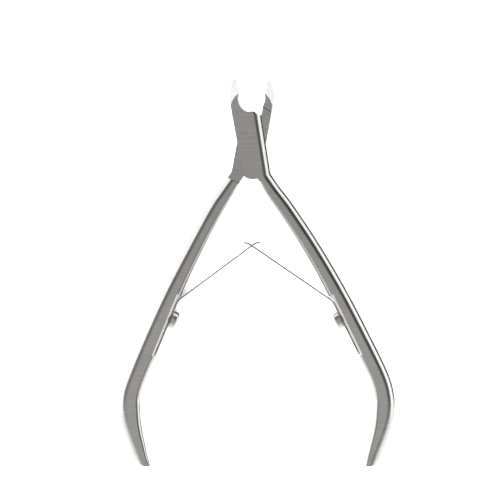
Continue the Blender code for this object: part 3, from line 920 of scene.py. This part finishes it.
def scratchMarks(tree, place):
    # long thin scratches at two turns, and the deeper one counts
    found = [streakNoise(tree, place, grain["scratch"], 1.0, turn) for turn in grain["scratchTurns"]]
    spread, depth = grain["scratchSpread"], grain["scratchDepth"]
    return reckon(tree, "MAXIMUM", *[ranged(tree, noise, *spread, 0.0, depth) for noise in found])


def brushedSteel(slotName, shadeAndWear):
    # Tone is (brush lines + slow unevenness - scratches + worn edges) x the painted shade and wear
    # marks, and roughness is fine lines + slow unevenness - worn edges. The bump is lines + fine
    # lines - scratches.
    finish = finishes[slotName]
    material = bpy.data.materials.new(slotName + "_brushed")
    material.use_nodes = True
    tree = material.node_tree
    shader = tree.nodes["Principled BSDF"]
    shader.inputs["Metallic"].default_value = 1.0
    place = addNode(tree, "ShaderNodeTexCoord").outputs["Object"]
    lines = streakNoise(tree, place, grain["lines"], 3.0)
    fine = streakNoise(tree, place, grain["fine"], 2.0)
    patches = streakNoise(tree, place, grain["patches"], 2.0)
    scratched = scratchMarks(tree, place)
    worn = addNode(tree, "ShaderNodeAttribute", attribute_name="edge").outputs["Fac"]
    spread = grain["spread"]

    brushed = ranged(tree, lines, *spread, 1 - finish["tone"], 1.0)
    uneven = ranged(tree, patches, *spread, -finish["tone"] / 3, finish["tone"] / 3)
    tone = reckon(tree, "SUBTRACT", reckon(tree, "ADD", brushed, uneven), scratched)
    tone = reckon(tree, "ADD", tone, reckon(tree, "MULTIPLY", worn, grain["edgeTone"]))
    # on the levers this holds painted shade at the pocket's walls, as well as wear
    if shadeAndWear:
        tone = reckon(tree, "MULTIPLY", tone, shadeAndWear(tree, place))
    colour = addNode(tree, "ShaderNodeVectorMath", operation="SCALE")
    colour.inputs[0].default_value = finish["colour"]
    tree.links.new(tone, colour.inputs["Scale"])
    tree.links.new(colour.outputs["Vector"], shader.inputs["Base Color"])

    half = finish["streak"] / 2
    streaked = ranged(tree, fine, *spread, finish["rough"] - half, finish["rough"] + half)
    uneven = ranged(tree, patches, *spread, -finish["streak"] / 4, finish["streak"] / 4)
    shine = reckon(tree, "MULTIPLY", worn, grain["edgeShine"])
    rough = reckon(tree, "SUBTRACT", reckon(tree, "ADD", streaked, uneven), shine)
    tree.links.new(rough, shader.inputs["Roughness"])

    cut = reckon(tree, "MULTIPLY", scratched, grain["scratchBump"])
    height = reckon(tree, "SUBTRACT", reckon(tree, "ADD", lines, fine), cut)
    bump = addNode(tree, "ShaderNodeBump", Strength=finish["bump"], Distance=grain["bumpHeight"])
    tree.links.new(height, bump.inputs["Height"])
    tree.links.new(bump.outputs["Normal"], shader.inputs["Normal"])
    return material


def finishPiece(piece, node, slotName, body=None, shadeAndWear=None):
    # its steel, the node that it replaces, its slot, and its body if it is all of one
    piece.data.materials.clear()
    piece.data.materials.append(brushedSteel(slotName, shadeAndWear))
    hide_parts(node)
    if body:
        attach(piece, body)


frontLever = makeLever(front)
print("front lever:", len(frontLever.data.polygons), "faces")
backLever = makeLever(back)
print("back lever:", len(backLever.data.polygons), "faces")
rivetPiece = makeRivet()
forkScrew = makeScrew("fork_screw", front)
tongueScrew = makeScrew("tongue_screw", back)
forkLeaf = makeLeaf("fork_leaf", front, leaf["forkCurl"], narrow=False)
tongueLeaf = makeLeaf("tongue_leaf", back, leaf["tongueCurl"], narrow=True)
print("rivet, screws and leaf springs made")

# the levers' lap faces carry painted shade along the pocket's walls, and rubbed rings
finishPiece(frontLever, "front_lever", "forged_steel", "front_half", lambda *at: lapShadeAndWear(*at, front))
finishPiece(backLever, "back_lever", "forged_steel", "back_half", lambda *at: lapShadeAndWear(*at, back))
finishPiece(rivetPiece, "pivot_rivet", "rivet_steel", "front_half")
finishPiece(forkScrew, "forked_spring_screw", "screw_steel", "front_half")
finishPiece(tongueScrew, "tongue_spring_screw", "screw_steel", "back_half")
finishPiece(forkLeaf, "forked_spring", "spring_steel", shadeAndWear=crossingPolish)
finishPiece(tongueLeaf, "tongue_spring", "spring_steel", shadeAndWear=crossingPolish)


def bendWith(piece, shape):
    # the leaf's placement is baked into its mesh, and it stays whole
    matrix = seatFrame(shape)
    _, crossing, ahead = leafBend(shape)
    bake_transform(piece)


bendWith(forkLeaf, front)
bendWith(tongueLeaf, back)
print("pieces finished and given to their bodies")

# Lengths are in millimetres, angles in degrees and the camera's clipping in metres. Towards and
# level values are directions' parts, and spreads say where a change starts and stops.
studio = {
    "viewCentre": (-0.42, -28.84),
    "viewWidth": 140.0,
    "distance": 1600.0,
    "sensor": 36.0,
    "clip": (0.01, 20.0),
    "floorHalf": 3000.0,
    "floorDrop": 0.02,
    "floorTone": 0.86,
    "floorRough": 0.9,
    "floorLight": 12.0,
    "lightSize": 70.0,
    "lightTilt": (6.0, -14.0),
    "white": 1.24,
    "whiteTop": (0.30, 0.50),
    "warm": (1.0, 0.985, 0.95, 1.0),
    "zenith": 0.358,
    "zenithSpread": (0.85, 0.985),
    "ceiling": 0.206,
    "darkest": 0.045,
    "towardsX": -0.0625,
    "towardsY": -0.2,
    "leastLevel": 0.05,
    "jawGlow": 0.16,
    "jawSpread": (0.60, 0.95),
    "softWhite": 1.0,
    "softTop": (-0.15, 0.85),
    "softSpread": (-0.30, -0.04),
    "under": 0.04,
    "underTowards": (0.643, 0.766),
    "underSpread": (0.40, 0.80),
    "underEdge": (-0.52, -0.22),
}


def makeFloor():
    # a wide square just under the nipper, which the steel doesn't mirror
    half, low = studio["floorHalf"], cadBox[0].z / mm - studio["floorDrop"]
    corners = np.array([(-half, -half, 0), (half, -half, 0), (half, half, 0), (-half, half, 0)])
    floor = makePiece("studio_floor", corners + (0, 0, low), [[0, 1, 2, 3]])
    material = bpy.data.materials.new("pale_floor")
    material.use_nodes = True
    shader = material.node_tree.nodes["Principled BSDF"]
    tone = studio["floorTone"]
    shader.inputs["Base Color"].default_value = (tone, tone, tone, 1.0)
    shader.inputs["Roughness"].default_value = studio["floorRough"]
    shader.inputs["Specular IOR Level"].default_value = 0.0
    floor.data.materials.append(material)
    floor.visible_glossy = False


def makeWorld():
    # A white studio whose ceiling is dark towards the jaws and the right, lighter towards the
    # handles' ends, with a grey patch straight overhead. Low down on the far right it is dark
    # too, which draws the thin line along the nipper's right edges.
    world = bpy.data.worlds.new("studio")
    bpy.context.scene.world = world
    world.use_nodes = True
    tree = world.node_tree
    direction = addNode(tree, "ShaderNodeTexCoord").outputs["Generated"]
    parts = addNode(tree, "ShaderNodeSeparateXYZ")
    tree.links.new(direction, parts.inputs[0])
    x, y, z = parts.outputs

    def towards(xWeight, yWeight):
        # the horizontal part, made a unit vector, against a fixed direction
        upright = reckon(tree, "MULTIPLY", z, z)
        level = reckon(tree, "SQRT", reckon(tree, "SUBTRACT", 1.0, upright))
        level = reckon(tree, "MAXIMUM", level, studio["leastLevel"])
        xPart = reckon(tree, "MULTIPLY", x, xWeight)
        yPart = reckon(tree, "MULTIPLY", y, yWeight)
        return reckon(tree, "DIVIDE", reckon(tree, "ADD", xPart, yPart), level)

    def blended(factor, high, low):
        # factor x high + (1 - factor) x low
        rest = reckon(tree, "SUBTRACT", 1.0, factor)
        highPart = reckon(tree, "MULTIPLY", factor, high)
        lowPart = reckon(tree, "MULTIPLY", rest, low)
        return reckon(tree, "ADD", highPart, lowPart)

    def rising(source, spread):
        # a smooth step from 0 to 1 over the spread
        return ranged(tree, source, *spread, 0.0, 1.0, smooth=True)

    slope = towards(studio["towardsX"], studio["towardsY"])
    toJaws = towards(0.0, 1.0)
    glow = ranged(tree, toJaws, *studio["jawSpread"], 0.0, studio["jawGlow"], smooth=True)
    ceiling = reckon(tree, "ADD", slope, studio["ceiling"])
    ceiling = reckon(tree, "ADD", reckon(tree, "MAXIMUM", ceiling, studio["darkest"]), glow)
    grey = blended(rising(z, studio["zenithSpread"]), studio["zenith"], ceiling)
    # towards the handles' ends the white is duller and rises softly into the grey
    soft = ranged(tree, toJaws, *studio["softSpread"], 1.0, 0.0, smooth=True)
    high = blended(soft, rising(z, studio["softTop"]), rising(z, studio["whiteTop"]))
    light = blended(high, grey, blended(soft, studio["softWhite"], studio["white"]))
    right = rising(towards(*studio["underTowards"]), studio["underSpread"])
    under = ranged(tree, z, *studio["underEdge"], 1.0, 0.0, smooth=True)
    light = blended(reckon(tree, "MULTIPLY", right, under), studio["under"], light)
    tint = addNode(tree, "ShaderNodeMix", data_type="RGBA")
    tint.inputs["A"].default_value = (1.0, 1.0, 1.0, 1.0)
    tint.inputs["B"].default_value = studio["warm"]
    tree.links.new(high, tint.inputs["Factor"])
    background = tree.nodes["Background"]
    tree.links.new(tint.outputs["Result"], background.inputs["Color"])
    tree.links.new(light, background.inputs["Strength"])


def makeLight():
    # a soft overhead light for the floor; the steel shows only the studio round it
    data = bpy.data.lights.new("overhead", "SUN")
    data.energy = studio["floorLight"]
    data.angle = np.radians(studio["lightSize"])
    light = bpy.data.objects.new("overhead", data)
    light.rotation_euler = (*np.radians(studio["lightTilt"]), 0)
    light.visible_glossy = False
    bpy.context.scene.collection.objects.link(light)


def makeCamera():
    # looks straight down, with the view's width across the sensor: lens = sensor x distance / width
    data = bpy.data.cameras.new("camera")
    data.sensor_width = studio["sensor"]
    data.lens = studio["sensor"] * studio["distance"] / studio["viewWidth"]
    data.clip_start, data.clip_end = studio["clip"]
    camera = bpy.data.objects.new("camera", data)
    height = studio["distance"] + jointThickness / 2
    camera.location = Vector((*studio["viewCentre"], height)) * mm
    bpy.context.scene.collection.objects.link(camera)
    bpy.context.scene.camera = camera


makeFloor()
makeWorld()
makeLight()
makeCamera()
bpy.context.scene.view_settings.view_transform = "Standard"
print("studio set")
